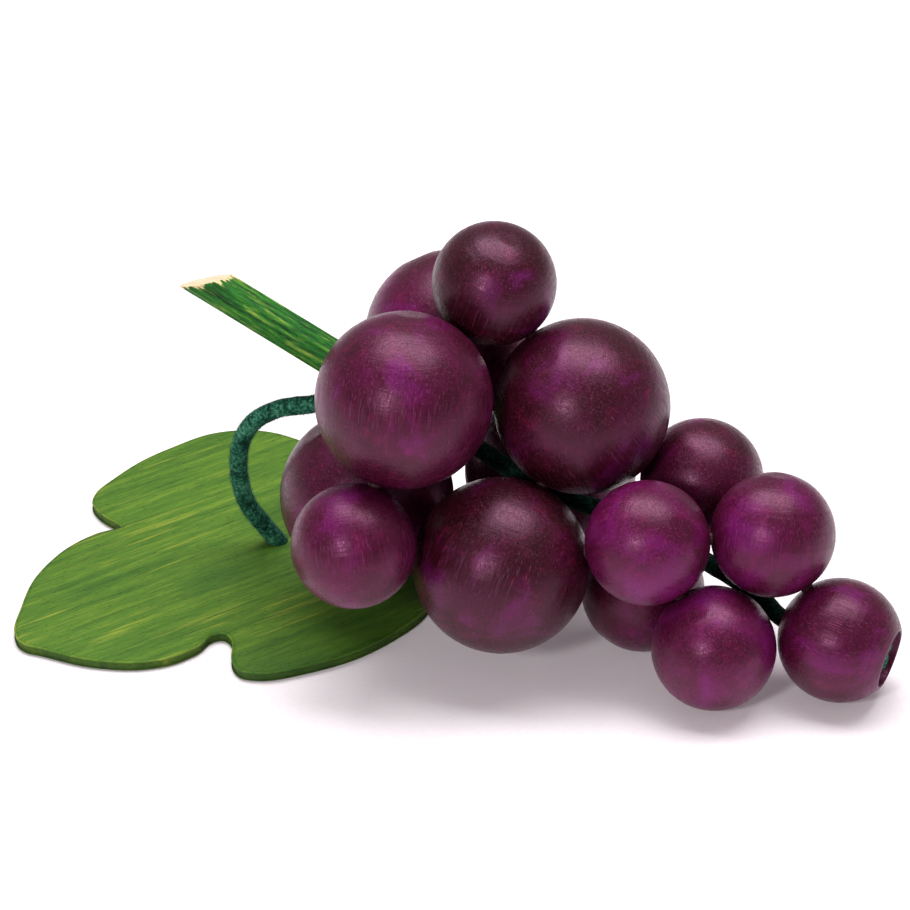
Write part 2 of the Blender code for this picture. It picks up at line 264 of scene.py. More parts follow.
def new_tree(name, **inputs):
    """A geometry tree with a geometry input and the named inputs. Returns it and its two ends."""
    tree = bpy.data.node_groups.new(name, "GeometryNodeTree")
    tree.interface.new_socket("Geometry", in_out="INPUT", socket_type="NodeSocketGeometry")
    for key, kind in inputs.items():
        tree.interface.new_socket(key, in_out="INPUT", socket_type=SOCKETS[kind])
    tree.interface.new_socket("Geometry", in_out="OUTPUT", socket_type="NodeSocketGeometry")
    return tree, add(tree, "NodeGroupInput").outputs, add(tree, "NodeGroupOutput").inputs


def close_tree(tree, ends, geometry, finish):
    """Every tree ends in real faces that carry their material."""
    real = add(tree, "GeometryNodeRealizeInstances", {0: geometry})
    dressed = add(tree, "GeometryNodeSetMaterial", {"Geometry": real.outputs[0], "Material": finish})
    tree.links.new(dressed.outputs[0], ends["Geometry"])


def run_tree(tree, name, start, **values):
    """Runs the tree on a mesh or curve and returns the result as a plain mesh object."""
    carrier = link_piece(name + "_start", start)
    step = carrier.modifiers.new(tree.name, "NODES")
    step.node_group = tree
    for item in tree.interface.items_tree:
        if item.in_out == "INPUT" and item.name in values:
            step[item.identifier] = values[item.name]
    ready = carrier.evaluated_get(bpy.context.evaluated_depsgraph_get())
    mesh = bpy.data.meshes.new_from_object(ready)
    bpy.data.objects.remove(carrier)
    mesh.name = name
    mesh.materials.clear()
    mesh.materials.append(values["finish"])
    return link_piece(name, mesh)


def line_through(name, points, cyclic=False):
    """A curve that is one open line, or a closed one, through the points."""
    curve = bpy.data.curves.new(name, "CURVE")
    curve.dimensions = "3D"
    spline = curve.splines.new("POLY")
    spline.points.add(len(points) - 1)
    for knot, place in zip(spline.points, points):
        knot.co = (*place, 1.0)
    spline.use_cyclic_u = cyclic
    return curve


# %% [markdown]
# ## The cord tree and the pile tree
# The cord tree carries a circle along the line, closes its ends, and pushes the surface in and out
# a little, because knitting is never quite round. The pile tree scatters points over the
# finished cord and stands a bent three-sided hair on each one. A hair has only nine faces, because
# there are thousands of them.

# %% Cord tree
cord_tree, given, ends = new_tree(
    "knitted_cord", radius="length", lumps="length", seed="count", finish="finish"
)
circle = add(cord_tree, "GeometryNodeCurvePrimitiveCircle", {"Resolution": 28, "Radius": given["radius"]})
tube = add(
    cord_tree, "GeometryNodeCurveToMesh",
    {"Curve": given["Geometry"], "Profile Curve": circle.outputs["Curve"], "Fill Caps": True},
)
lumps = add(
    cord_tree, "ShaderNodeTexNoise",
    {"Scale": 420.0, "Detail": 2.0, "W": given["seed"]}, noise_dimensions="4D",
)
in_or_out = calc(cord_tree, "SUBTRACT", lumps.outputs["Fac"], 0.5)
push = calc(cord_tree, "MULTIPLY", in_or_out, given["lumps"])
outward = add(cord_tree, "GeometryNodeInputNormal").outputs[0]
offset = add(cord_tree, "ShaderNodeVectorMath", {0: outward, "Scale": push}, operation="SCALE")
lumpy = add(
    cord_tree, "GeometryNodeSetPosition", {"Geometry": tube.outputs[0], "Offset": offset.outputs[0]}
)
soft = add(cord_tree, "GeometryNodeSetShadeSmooth", {"Geometry": lumpy.outputs[0]})
close_tree(cord_tree, ends, soft.outputs[0], given["finish"])
print("cord tree:", len(cord_tree.nodes), "nodes")

# %% Pile tree
pile_tree, given, ends = new_tree(
    "pile", density="number", hair="length", thick="length", seed="count", finish="finish"
)
spots = add(
    pile_tree, "GeometryNodeDistributePointsOnFaces",
    {"Mesh": given["Geometry"], "Density": given["density"], "Seed": given["seed"]},
)
spine = add(
    pile_tree, "GeometryNodeCurveQuadraticBezier",
    {"Resolution": 3, "Start": (0, 0, 0), "Middle": (0, 0, 0.6), "End": (0.5, 0, 1.0)},
)
thin_out = add(pile_tree, "GeometryNodeSplineParameter").outputs["Factor"]
taper = add(
    pile_tree, "GeometryNodeSetCurveRadius",
    {"Curve": spine.outputs[0], "Radius": shade(pile_tree, thin_out, 1.0, 0.25)},
)
section = add(pile_tree, "GeometryNodeCurvePrimitiveCircle", {"Resolution": 3, "Radius": given["thick"]})
hair = add(
    pile_tree, "GeometryNodeCurveToMesh",
    {"Curve": taper.outputs[0], "Profile Curve": section.outputs["Curve"],
     "Scale": add(pile_tree, "GeometryNodeInputRadius").outputs[0]},
)
lengths = add(
    pile_tree, "FunctionNodeRandomValue", {"Min": 0.45, "Max": 1.0, "Seed": given["seed"]}, data_type="FLOAT"
)
grown = calc(pile_tree, "MULTIPLY", lengths.outputs[1], given["hair"])
lean = add(
    pile_tree, "FunctionNodeRandomValue",
    {"Min": (-0.7, -0.7, -pi), "Max": (0.7, 0.7, pi), "Seed": given["seed"]}, data_type="FLOAT_VECTOR",
)
lean_turn = add(pile_tree, "FunctionNodeEulerToRotation", {0: lean.outputs[0]})
turned = add(
    pile_tree, "FunctionNodeRotateRotation",
    {0: spots.outputs["Rotation"], 1: lean_turn.outputs[0]}, rotation_space="LOCAL",
)
planted = add(
    pile_tree, "GeometryNodeInstanceOnPoints",
    {"Points": spots.outputs["Points"], "Instance": hair.outputs[0],
     "Rotation": turned.outputs[0], "Scale": grown},
)
close_tree(pile_tree, ends, planted.outputs[0], given["finish"])
print("pile tree:", len(pile_tree.nodes), "nodes")

# %% The leaf cord and its pile
leaf_cord = run_tree(
    cord_tree, "leaf_cord_velour", line_through("leaf_cord_line", leaf_cord_route),
    radius=CORD_RADIUS * 0.97, lumps=0.5 * MM, seed=3, finish=velour,
)
leaf_cord_pile = run_tree(
    pile_tree, "leaf_cord_pile", leaf_cord.data.copy(),
    density=9.0e6, hair=0.55 * MM, thick=0.045, seed=5, finish=velour,
)
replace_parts(leaf_cord, "leaf_cord")
for piece in (leaf_cord, leaf_cord_pile):
    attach(piece, "root")
print("cord and pile:", len(leaf_cord.data.polygons), len(leaf_cord_pile.data.polygons), "faces")

# %% [markdown]
# ## The balls
# Each ball is turned on a lathe, so it is almost a sphere: it has a small flat at both ends of its
# turning axis, and shallow rings where the gouge went round. A profile spun about an axis gives
# the flats and an axis for the rings, which the turning tree raises later, where a ready-made sphere
# would give neither. The last ball of the bunch is bored through, with a wide recess for the knot,
# so its profile goes round the hole and back.

# %% Spinning a profile
def blank_from(name, profile, sides=120):
    """Spins (radius, height) points in millimetres about Z, and closes the ends that meet it."""
    bm = bmesh.new()
    rings = []
    for radius, height in profile:
        if radius == 0.0:
            rings.append([bm.verts.new((0.0, 0.0, height * MM))] * sides)
            continue
        turns = [2 * pi * i / sides for i in range(sides)]
        places = [Vector((radius * cos(t), radius * sin(t), height)) * MM for t in turns]
        rings.append([bm.verts.new(place) for place in places])
    pairs = zip(rings, rings[1:] + (rings[:1] if profile[0][0] else []))
    for lower, upper in pairs:
        for i in range(sides):
            k = (i + 1) % sides
            bm.faces.new(dict.fromkeys((lower[i], lower[k], upper[k], upper[i])))
    bmesh.ops.recalc_face_normals(bm, faces=bm.faces)
    mesh = bpy.data.meshes.new(name)
    bm.to_mesh(mesh)
    bm.free()
    return mesh


def ball_profile(radius, flat=0.985, rings=84):
    """From pole to pole, with the small flats that the lathe centres leave."""
    points = [(0.0, -radius * flat)]
    for i in range(1, rings):
        angle = -pi / 2 + pi * i / rings
        height = max(-flat, min(flat, sin(angle))) * radius
        points.append((cos(angle) * radius, height))
    return points + [(0.0, radius * flat)]


LARGE, SMALL = 17.7, 12.5
blanks = {size: blank_from(f"blank_{size}", ball_profile(size)) for size in (LARGE, SMALL)}
print("a blank has", len(blanks[LARGE].polygons), "faces")

# %% [markdown]
# ## The turning tree
# One tree turns every ball. It raises faint rings that depend only on how far a point is along the
# turning axis, keeps each point's place on the lathe as an attribute, and then carries the
# ball to its place in the bunch. The finish reads that attribute, so the grain and the tool
# marks stay with the ball however it is turned.

# %% Turning tree
turning, given, ends = new_tree(
    "turned_ball", ring_depth="length", ring_scale="number", seed="number", tone="number",
    turn="turn", centre="vector", finish="finish",
)
on_lathe = add(turning, "GeometryNodeInputPosition").outputs[0]
height = add(turning, "ShaderNodeSeparateXYZ", {0: on_lathe}).outputs["Z"]
wander = add(turning, "ShaderNodeTexNoise", {"Vector": on_lathe, "Scale": 90.0, "Detail": 1.0})
wandering = calc(turning, "MULTIPLY", calc(turning, "SUBTRACT", wander.outputs["Fac"], 0.5), 0.0012)
ring_place = calc(turning, "MULTIPLY", calc(turning, "ADD", height, wandering), given["ring_scale"])
ring_noise = add(
    turning, "ShaderNodeTexNoise",
    {"W": calc(turning, "ADD", ring_place, given["seed"]), "Scale": 1.0, "Detail": 2.0, "Roughness": 0.6},
    noise_dimensions="1D",
)
in_or_out = calc(turning, "SUBTRACT", ring_noise.outputs["Fac"], 0.5)
raised = calc(turning, "MULTIPLY", in_or_out, given["ring_depth"])
outward = add(turning, "GeometryNodeInputNormal").outputs[0]
offset = add(turning, "ShaderNodeVectorMath", {0: outward, "Scale": raised}, operation="SCALE")
marked = add(
    turning, "GeometryNodeStoreNamedAttribute",
    {"Geometry": given["Geometry"], "Name": "on_lathe", "Value": on_lathe}, data_type="FLOAT_VECTOR",
)
toned = add(
    turning, "GeometryNodeStoreNamedAttribute",
    {"Geometry": marked.outputs[0], "Name": "tone", "Value": given["tone"]}, data_type="FLOAT",
)
ringed = add(
    turning, "GeometryNodeSetPosition", {"Geometry": toned.outputs[0], "Offset": offset.outputs[0]}
)
carried = add(
    turning, "GeometryNodeTransform",
    {"Geometry": ringed.outputs[0], "Translation": given["centre"], "Rotation": given["turn"]},
)
smooth = add(turning, "GeometryNodeSetShadeSmooth", {"Geometry": carried.outputs[0]})
close_tree(turning, ends, smooth.outputs[0], given["finish"])
print("turning tree:", len(turning.nodes), "nodes")

# %% [markdown]
# ## The stain on the balls
# The balls were dipped in a thin purple stain and rubbed with satin varnish. Stain sinks unevenly:
# it is maroon where it pooled and a clear magenta where the wood is dense, and the fibres and
# pores of the beech show through as fine dashes along the turning axis. The varnish is
# rubbed, so its gloss is broken by brush marks and hair scratches. The recipe builds these one
# after another: fibres, mottling, rings, scratches, and last the roughness and the bump.

# %% Fibres, mottling and rings
stain, tree, shader = new_finish("purple_stain")
lathe_place = add(tree, "ShaderNodeAttribute", attribute_name="on_lathe").outputs["Vector"]
tone = add(tree, "ShaderNodeAttribute", attribute_name="tone").outputs["Fac"]
own_place = add(
    tree, "ShaderNodeVectorMath",
    {0: lathe_place, 1: add(tree, "ShaderNodeCombineXYZ", {"X": tone, "Y": tone}).outputs[0]},
    operation="ADD",
).outputs[0]
fibres = speckle(tree, stretched(tree, own_place, (1.0, 1.0, 0.1)), 1900.0, 4.0, 0.6)
pores = speckle(tree, stretched(tree, own_place, (1.0, 1.0, 0.3)), 3600.0, 2.0, 0.6)
clouds = speckle(tree, own_place, 95.0, 4.0, 0.55, 0.6)
patches = speckle(tree, stretched(tree, own_place, (1.0, 1.0, 0.5), (0.3, 0.2, 0.0)), 300.0, 6.0, 0.66, 1.6)
lathe_rings = speckle(tree, stretched(tree, own_place, (0.14, 0.14, 1.0)), 1500.0, 4.0, 0.7, 0.3)

# %% Scratches in the varnish
def scratches(tree, place, turn, scale):
    """Hair lines: speckle drawn out a hundredfold in one direction, with only its crests kept."""
    drawn = speckle(tree, stretched(tree, place, (1.0, 1.0, 0.015), turn), scale, 1.0, 0.5, 0.25)
    return shade(tree, drawn, 0.0, 1.0, 0.64, 0.72)


scratch_one = scratches(tree, own_place, (1.2, 0.4, 0.2), 3600.0)
scratch_two = scratches(tree, own_place, (0.5, 1.3, 0.9), 3000.0)
scratched = calc(tree, "MAXIMUM", scratch_one, scratch_two)

# %% Stain colour
depth = calc(
    tree, "ADD",
    calc(tree, "MULTIPLY", clouds, 0.75),
    calc(tree, "ADD", calc(tree, "MULTIPLY", patches, 0.35), calc(tree, "MULTIPLY", tone, 0.42)),
)
stain_colour = steps(
    tree, depth,
    (0.42, dye(38, 9, 12)), (0.60, dye(52, 9, 22)), (0.80, dye(72, 10, 42)), (1.0, dye(98, 13, 72)),
)
dark_pores = shade(tree, pores, 0.78, 1.0, 0.34, 0.48)
fibre_light = shade(tree, fibres, 0.88, 1.14, 0.3, 0.72)
streaked = blend(tree, 1.0, stain_colour, calc(tree, "MULTIPLY", dark_pores, fibre_light), "MULTIPLY")
crimson = shade(tree, patches, 0.0, 0.42, 0.56, 0.74)
violet = shade(tree, clouds, 0.0, 0.5, 0.56, 0.74)
flecked = blend(tree, violet, blend(tree, crimson, streaked, dye(118, 16, 50)), dye(104, 20, 96))
pale_lines = calc(tree, "MULTIPLY", scratched, 0.08)
tree.links.new(blend(tree, pale_lines, flecked, dye(190, 110, 160)), shader.inputs["Base Color"])

# %% Varnish and bump of the balls
gloss = calc(
    tree, "ADD", shade(tree, fibres, 0.2, 0.36, 0.35, 0.65), calc(tree, "MULTIPLY", lathe_rings, 0.1)
)
tree.links.new(calc(tree, "ADD", gloss, calc(tree, "MULTIPLY", scratched, 0.2)), shader.inputs["Roughness"])
relief = calc(
    tree, "ADD",
    calc(tree, "ADD", calc(tree, "MULTIPLY", fibres, 0.55), calc(tree, "MULTIPLY", lathe_rings, 1.1)),
    calc(tree, "SUBTRACT", calc(tree, "MULTIPLY", patches, 0.5), calc(tree, "MULTIPLY", scratched, 0.35)),
)
roughen(tree, shader, relief, 0.55, 0.12 * MM)
shader.inputs["Specular IOR Level"].default_value = 0.5
shader.inputs["Specular Tint"].default_value = (1.0, 0.44, 0.72, 1.0)
print("stain has", len(tree.nodes), "nodes")

# %% [markdown]
# ## Turning the fourteen plain balls
# Every ball gets its own turning axis, its own rings and its own depth of stain, because no two
# balls took the dye alike. The balls with a deep stain have a low tone. The centre comes from the
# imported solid's box, so a ball can't drift from its place.

# %% Plain balls
BALLS = {
    # turning axis, tone
    "grape_large_front_left": ((0.10, 0.30, 0.95), 0.46),
    "grape_large_front_right": ((-0.45, -0.35, 0.82), 0.22),
    "grape_large_bottom_front": ((0.35, 0.30, 0.89), 0.08),
    "grape_large_back_left": ((-0.40, 0.45, 0.80), 0.62),
    "grape_large_bottom_left": ((-0.60, 0.10, 0.79), 0.40),
    "grape_large_bottom_back": ((0.20, 0.90, 0.39), 0.30),
    "grape_small_top": ((0.25, -0.20, 0.95), 0.12),
    "grape_small_front_left": ((-0.15, 0.35, 0.92), 0.58),
    "grape_small_front_middle": ((0.51, -0.555, 0.649), 0.74),
    "grape_small_back_middle": ((-0.30, -0.55, 0.78), 0.40),
    "grape_small_back_left": ((0.70, 0.30, 0.65), 0.50),
    "grape_small_tail_top": ((0.10, 0.25, 0.96), 0.70),
    "grape_small_tail_front": ((-0.31, -0.351, 0.883), 0.78),
    "grape_small_tail_back": ((0.60, 0.50, 0.62), 0.34),
}


def towards(axis):
    """The turn that takes the lathe's axis, +Z, to the given direction."""
    return Vector(axis).normalized().to_track_quat("Z", "Y")


def turn_ball(name, blank, axis, tone, seed):
    low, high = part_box(name)
    ball = run_tree(
        turning, name + "_turned", blank, ring_depth=0.1 * MM, ring_scale=900.0, seed=seed * 7.3,
        tone=tone, turn=towards(axis).to_euler(), centre=(low + high) / 2, finish=stain,
    )
    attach(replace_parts(ball, name), "root")
    return ball


for seed, (name, (axis, tone)) in enumerate(BALLS.items()):
    low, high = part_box(name)
    size = LARGE if high.x - low.x > 0.03 else SMALL
    ball = turn_ball(name, blanks[size].copy(), axis, tone, seed)
print("turned", len(BALLS), "balls; the last one measures", size_of(ball), "mm")

# %% [markdown]
# ## The last ball and its knot
# The cord that runs through the tail comes out in a recess in the last ball, where a knot keeps it
# from slipping back. The recess was bored after staining, so on the real ball it is rougher and
# darker, and its rim was broken with sandpaper; here the recess takes the same stain as the rest of
# the ball. The same turning tree finishes this ball too.

# %% Bored ball
END_AXIS = Vector((0.908, -0.378, -0.177)).normalized()
FACE, BORE, RECESS, RECESS_DEEP = 0.862 * SMALL, 2.7, 5.9, 5.0
rim = sqrt(SMALL**2 - FACE**2)
start = atan2(-sqrt(SMALL**2 - (BORE + 0.3) ** 2), BORE + 0.3)
finish_angle = atan2(FACE - 0.15, sqrt(SMALL**2 - (FACE - 0.15) ** 2))
arc = [start + (finish_angle - start) * i / 70 for i in range(71)]
bored = [(BORE, -sqrt(SMALL**2 - BORE**2) + 0.45)]
bored += [(SMALL * cos(a), SMALL * sin(a)) for a in arc]
bored += [(rim - 0.1, FACE - 0.02), (rim - 0.3, FACE), (RECESS + 0.25, FACE), (RECESS + 0.08, FACE - 0.08)]
bored += [(RECESS, FACE - 0.25), (RECESS, FACE - RECESS_DEEP + 0.3), (RECESS - 0.3, FACE - RECESS_DEEP)]
bored += [(BORE + 0.2, FACE - RECESS_DEEP), (BORE, FACE - RECESS_DEEP - 0.2)]
tail_end = turn_ball("grape_small_tail_end", blank_from("bored_blank", bored), END_AXIS, 0.55, 15)
print("bored ball, mm:", size_of(tail_end))

# %% [markdown]
# ## The knot and the cord through the tail
# The tail cord is the same velour as the leaf cord, in its darker copy that is painted shade. It is
# glued into the stem's inner end, passes between the balls and goes through the last one. Little of
# it shows, but a green spot between the tail balls and the knot in the recess do. A knot is a closed
# line that crosses itself three times, carried round by the cord tree and pressed flat.

# %% Tail cord and knot
stem_ring = Vector((-9.9, -6.8, 46.8))
stem_axis = Vector((-0.853, 0.251, 0.458)).normalized()
end_centre = sum(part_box("grape_small_tail_end"), Vector()) / 2 / MM
stem_end = stem_ring - stem_axis * 13.0
tail_places = (
    stem_end + stem_axis * 6.7, stem_end, (15.7, -14.4, 32.6), (26.5, -18.0, 29.6), (37.8, -22.4, 28.6),
    (48.2, -27.6, 23.8), (55.6, -29.6, 19.6), (61.2, -33.0, 17.2), end_centre - END_AXIS * SMALL,
    end_centre - END_AXIS * 5.0, end_centre + END_AXIS * (FACE - RECESS_DEEP + 0.3),
)
tail_route, tail_length = route_through(tail_places, 0.8 * MM)
# The tail cord takes the darker velour, painted shade for the inside of the bunch.
tail_cord = run_tree(
    cord_tree, "tail_cord_velour", line_through("tail_cord_line", tail_route),
    radius=CORD_RADIUS * 0.97, lumps=0.4 * MM, seed=11, finish=velour_painted_shade,
)
KNOT_AT = (end_centre + END_AXIS * (FACE - RECESS_DEEP + 2.4)) * MM
KNOT_STEPS = 72
knot_turn = towards(END_AXIS)
knot_line = []
for step in range(KNOT_STEPS):
    t = 2 * pi * step / KNOT_STEPS
    trefoil = Vector((sin(t) + 2 * sin(2 * t), cos(t) - 2 * cos(2 * t), -0.75 * sin(3 * t)))
    knot_line.append(KNOT_AT + knot_turn @ (trefoil * 0.92 * MM))
knot = run_tree(
    cord_tree, "tail_knot", line_through("tail_knot_line", knot_line, cyclic=True),
    radius=1.35 * MM, lumps=0.3 * MM, seed=12, finish=velour,
)
tail_pile = run_tree(
    pile_tree, "tail_cord_pile", knot.data.copy(),
    density=6.0e6, hair=0.4 * MM, thick=0.045, seed=13, finish=velour,
)
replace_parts(tail_cord, "spine_cord")
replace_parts(knot, "end_knot")
for piece in (tail_cord, knot, tail_pile):
    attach(piece, "root")
print("tail cord, mm:", round(tail_length / MM, 1), "knot, mm:", size_of(knot))

# %% [markdown]
# ## The stem
# The stem is a dowel with a fluted side, like a hardwood dowel for gluing. It was dyed green all
# over and cut off on a slant afterwards, so the cut shows bare pale wood, and the saw tore the
# dye at its lower edge. The side is a circle whose radius goes in and out sixteen times. It is built
# ring by ring, so that every ring can be uneven in its own way, and a plane cuts it off.

# %% Fluted dowel
STEM_RADIUS, FLUTES, FLUTE_DEEP, STEM_CUT = 3.85, 16, 0.22, 47.2
cut_normal = Vector((-0.218, 0.315, 0.913)).normalized()
stem_turn = towards(stem_axis)
SIDES, SPACING, BLANK_LONG = 128, 0.5, 73.0
bm = bmesh.new()
along = bm.verts.layers.float_vector.new("along_grain")
to_cut = bm.verts.layers.float.new("from_cut")
rings = []
for i in range(int(BLANK_LONG / SPACING) + 1):
    ring = []
    for k in range(SIDES):
        t = 2 * pi * k / SIDES
        fibre = noise.noise(Vector((cos(t) * 5, sin(t) * 5, i * SPACING * 0.05)))
        wave = 0.5 + 0.5 * cos(FLUTES * t)
        radius = STEM_RADIUS - FLUTE_DEEP * (1 - wave**0.7) + 0.06 * fibre
        local = Vector((radius * cos(t), radius * sin(t), i * SPACING))
        vert = bm.verts.new((stem_end + stem_turn @ local) * MM)
        vert[along] = local * MM
        ring.append(vert)
    rings.append(ring)
for lower, upper in zip(rings, rings[1:]):
    for k in range(SIDES):
        n = (k + 1) % SIDES
        bm.faces.new((lower[k], lower[n], upper[n], upper[k]))
bm.faces.new(rings[0])
bm.faces.new(rings[-1])
bmesh.ops.recalc_face_normals(bm, faces=bm.faces)
cut_point = (stem_ring + stem_axis * STEM_CUT) * MM
cut = bmesh.ops.bisect_plane(
    bm, geom=bm.verts[:] + bm.edges[:] + bm.faces[:],
    plane_co=cut_point, plane_no=cut_normal, clear_outer=True,
)
cut_rim = [item for item in cut["geom_cut"] if isinstance(item, bmesh.types.BMEdge)]
print("dowel has", len(bm.faces), "faces and a cut of", len(cut_rim), "edges")

# %% The slanted cut
cut_face = bmesh.ops.edgeloop_fill(bm, edges=cut_rim)["faces"][0]
bmesh.ops.inset_region(bm, faces=[cut_face], thickness=0.12 * MM, depth=0.0)
bmesh.ops.poke(bm, faces=[cut_face])


def on_the_cut(face):
    below = (cut_point - face.calc_center_median()).dot(cut_normal)
    return face.normal.dot(cut_normal) > 0.98 and below < 0.01 * MM


cut_faces = {face for face in bm.faces if on_the_cut(face)}
for vert in {v for f in cut_faces for v in f.verts}:
    local = stem_turn.inverted() @ (vert.co / MM - stem_end)
    vert[along] = local * MM
for vert in bm.verts:
    vert[to_cut] = (cut_point - vert.co).dot(cut_normal)
for face in cut_faces:
    face.material_index = 1
    face.smooth = False
for face in set(bm.faces) - cut_faces:
    face.smooth = True
stem_mesh = bpy.data.meshes.new("stem_dowel")
bmesh.ops.recalc_face_normals(bm, faces=bm.faces)
bm.to_mesh(stem_mesh)
bm.free()
print("bare wood:", len(cut_faces), "faces")

# %% [markdown]
# ## Green stain
# The stem and the leaf had the same green dye. On the dowel it ran along the flutes, so there are
# dark green lines in the grooves and yellow-green ones on the ridges, where the wood shows through.
# Both recipes are fibres drawn out along the grain, so one helper makes them and the
# leaf only turns the grain by 35 degrees to follow its midrib.

# %% Stained stem
def from_axis(tree, place):
    """How far a place is from the dowel's own axis."""
    flattened = add(tree, "ShaderNodeVectorMath", {0: place, 1: (1.0, 1.0, 0.0)}, operation="MULTIPLY")
    length = add(tree, "ShaderNodeVectorMath", {0: flattened.outputs[0]}, operation="LENGTH")
    return length.outputs["Value"]


stem_stain, tree, shader = new_finish("green_stain_stem")
along_place = add(tree, "ShaderNodeAttribute", attribute_name="along_grain").outputs["Vector"]
threads = speckle(tree, stretched(tree, along_place, (1.0, 1.0, 0.11)), 1500.0, 5.0, 0.72)
thin_spots = speckle(tree, stretched(tree, along_place, (1.0, 1.0, 0.14)), 1100.0, 4.0, 0.65)
fine_threads = speckle(tree, stretched(tree, along_place, (1.0, 1.0, 0.12)), 3200.0, 3.0, 0.7)
reach = from_axis(tree, along_place)
ridge = shade(tree, reach, 0.0, 1.0, 0.00355, 0.00388)
dye_tone = calc(
    tree, "ADD", calc(tree, "MULTIPLY", threads, 0.7),
    calc(tree, "ADD", calc(tree, "MULTIPLY", ridge, 0.1), calc(tree, "MULTIPLY", fine_threads, 0.3)),
)
stem_colour = steps(
    tree, dye_tone,
    (0.42, dye(2, 38, 6)), (0.53, dye(10, 86, 12)), (0.64, dye(34, 118, 22)), (0.74, dye(108, 152, 44)),
)
yellow = shade(tree, thin_spots, 0.0, 0.85, 0.53, 0.68)
dyed = blend(tree, yellow, stem_colour, dye(140, 172, 62))
from_cut = add(tree, "ShaderNodeAttribute", attribute_name="from_cut").outputs["Fac"]
torn_to = shade(tree, thin_spots, 0.0, 0.0011, 0.44, 0.64)
torn = shade(tree, calc(tree, "SUBTRACT", torn_to, from_cut), 0.0, 1.0, 0.0, 0.0002)
tree.links.new(blend(tree, torn, dyed, dye(226, 204, 150)), shader.inputs["Base Color"])
tree.links.new(shade(tree, threads, 0.42, 0.62), shader.inputs["Roughness"])
thread_relief = calc(tree, "ADD", threads, calc(tree, "MULTIPLY", fine_threads, 0.5))
roughen(tree, shader, thread_relief, 0.6, 0.3 * MM)
shader.inputs["Specular IOR Level"].default_value = 0.25
print("stem stain has", len(tree.nodes), "nodes")

# %% Bare cut wood
bare_wood, tree, shader = new_finish("bare_wood")
along_place = add(tree, "ShaderNodeAttribute", attribute_name="along_grain").outputs["Vector"]
growth = speckle(tree, stretched(tree, along_place, (1.0, 0.35, 0.1), (0, 0, 0.5)), 1500.0, 3.0, 0.6)
saw_marks = speckle(tree, stretched(tree, along_place, (0.3, 1.0, 1.0), (0.3, 0, 0.9)), 2600.0, 2.0, 0.6)
reach = from_axis(tree, along_place)
ragged = calc(tree, "ADD", reach, calc(tree, "MULTIPLY", growth, 0.0007))
soaked = shade(tree, ragged, 0.0, 0.8, 0.0037, 0.0042)
wood_colour = steps(
    tree, growth, (0.3, dye(214, 180, 142)), (0.55, dye(234, 208, 176)), (0.75, dye(240, 220, 194))
)
pale = blend(tree, shade(tree, saw_marks, 0.0, 0.4, 0.5, 0.7), wood_colour, dye(216, 160, 128))
tree.links.new(blend(tree, soaked, pale, dye(120, 150, 60)), shader.inputs["Base Color"])
tree.links.new(shade(tree, growth, 0.65, 0.9), shader.inputs["Roughness"])
roughen(tree, shader, saw_marks, 0.5, 0.2 * MM)
print("bare wood has", len(tree.nodes), "nodes")

# %% The stem in place
stem = link_piece("stem_fluted", stem_mesh)
stem_mesh.materials.append(stem_stain)
stem_mesh.materials.append(bare_wood)
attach(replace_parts(stem, "stem"), "root")
print("stem, mm:", size_of(stem))

# %% [markdown]
# ## The leaf
# The leaf was sawn from a thin board with a fret saw, sanded, and dyed. Its outline is one closed
# line of smooth bends with a few sharp corners, so a curve with handles draws it best, and loops
# drawn in from that line give the board its thickness and the sanded edge its rounding. Along its
# edge the sanding wore the dye thin, so the mesh remembers how near each point is to the edge.

# %% Leaf outline
LEAF_THICK, EDGE_ROUND = 2.2, 0.35
LEAF_TIP, LEAF_TURN = Vector((-89.2, -26.4, 0.0)), radians(35)
CORNERS = ((77.0, 0.0), (41.2, 24.9))
LEAF_OUTLINE = (
    (0.9, 1.2), (1.0, -2.4), (2.4, -4.6), (10.3, -16.1), (20.2, -22.6), (28.5, -23.1), (35.6, -21.3),
    (36.5, -23.0), (31.4, -33.9), (32.4, -36.7), (42.0, -41.2), (64.6, -41.6), (80.0, -34.0), (86.0, -20.0),
    (82.0, -6.0), (77.0, 0.0), (84.0, 7.0), (91.5, 20.0), (91.1, 34.4), (82.0, 44.9), (66.0, 46.5),
    (49.7, 42.6), (42.6, 38.8), (40.6, 35.0), (41.2, 24.9), (34.7, 26.0), (20.0, 21.2), (7.3, 10.1),
)
outline = bpy.data.curves.new("leaf_line", "CURVE")
outline.dimensions = "2D"
outline.fill_mode = "NONE"
outline.resolution_u = 14
spline = outline.splines.new("BEZIER")
spline.bezier_points.add(len(LEAF_OUTLINE) - 1)
spline.use_cyclic_u = True
for point, place in zip(spline.bezier_points, LEAF_OUTLINE):
    point.co = (place[0], place[1], 0.0)
    point.handle_left_type = point.handle_right_type = "VECTOR" if place in CORNERS else "AUTO"
drawn = link_piece("leaf_line", outline)
bpy.context.view_layer.update()
edge_line = [v.co.copy() for v in drawn.to_mesh().vertices]
bpy.data.objects.remove(drawn)
print("leaf outline:", len(edge_line), "points")

# %% Leaf board
def drawn_in(points, distance):
    """The closed line moved inwards, whichever way round it runs."""
    area = sum(a.x * b.y - b.x * a.y for a, b in zip(points, points[1:] + points[:1]))
    side = 1.0 if area > 0 else -1.0
    moved = []
    for before, here, after in zip(points[-1:] + points[:-1], points, points[1:] + points[:1]):
        way = (here - before).normalized() + (after - here).normalized()
        inward = Vector((-way.y, way.x, 0.0)).normalized() * side
        moved.append(here + inward * distance)
    return moved


